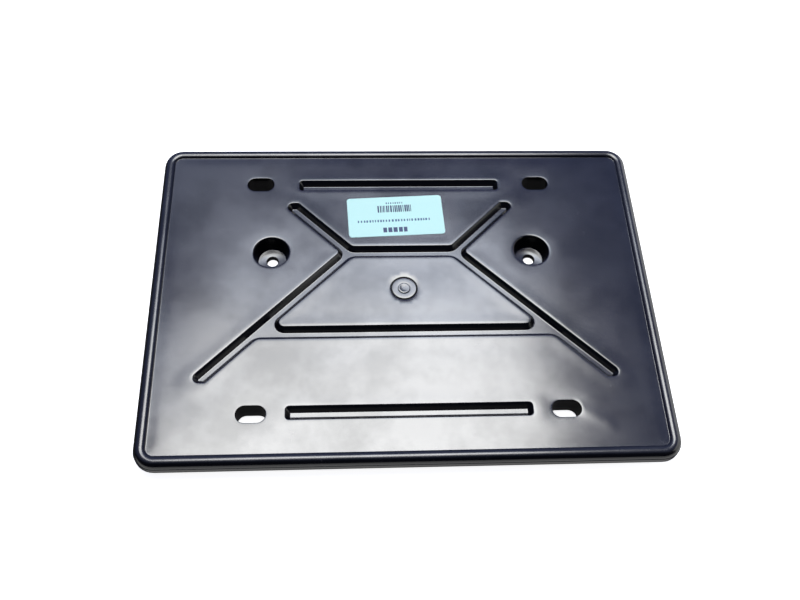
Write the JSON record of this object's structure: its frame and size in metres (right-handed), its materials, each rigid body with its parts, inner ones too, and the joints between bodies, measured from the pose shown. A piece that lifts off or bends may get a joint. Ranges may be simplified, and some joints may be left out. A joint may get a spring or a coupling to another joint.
{
  "type": "number plate holder",
  "caption": "Moulded plastic base for a two-line rear number plate, with a beaded rim, stiffening channels, screw slots, deep mounting cups and a paper label.",
  "frame": {"origin": "under the middle of the plate, in the plane that the cups and slot collars stand on", "axes": "+X along the plate's width, +Y up the plate, +Z out of the face that the number plate lies on"},
  "size_m": [0.301, 0.219, 0.0153],
  "materials": {
    "moulded_abs": "injection moulded black ABS with a satin gloss",
    "coated_paper": "pale cyan coated label stock with plain black print"
  },
  "bodies": {
    "root": {"base_plate": "moulded_abs", "label": "coated_paper"}
  },
  "joints": []
}
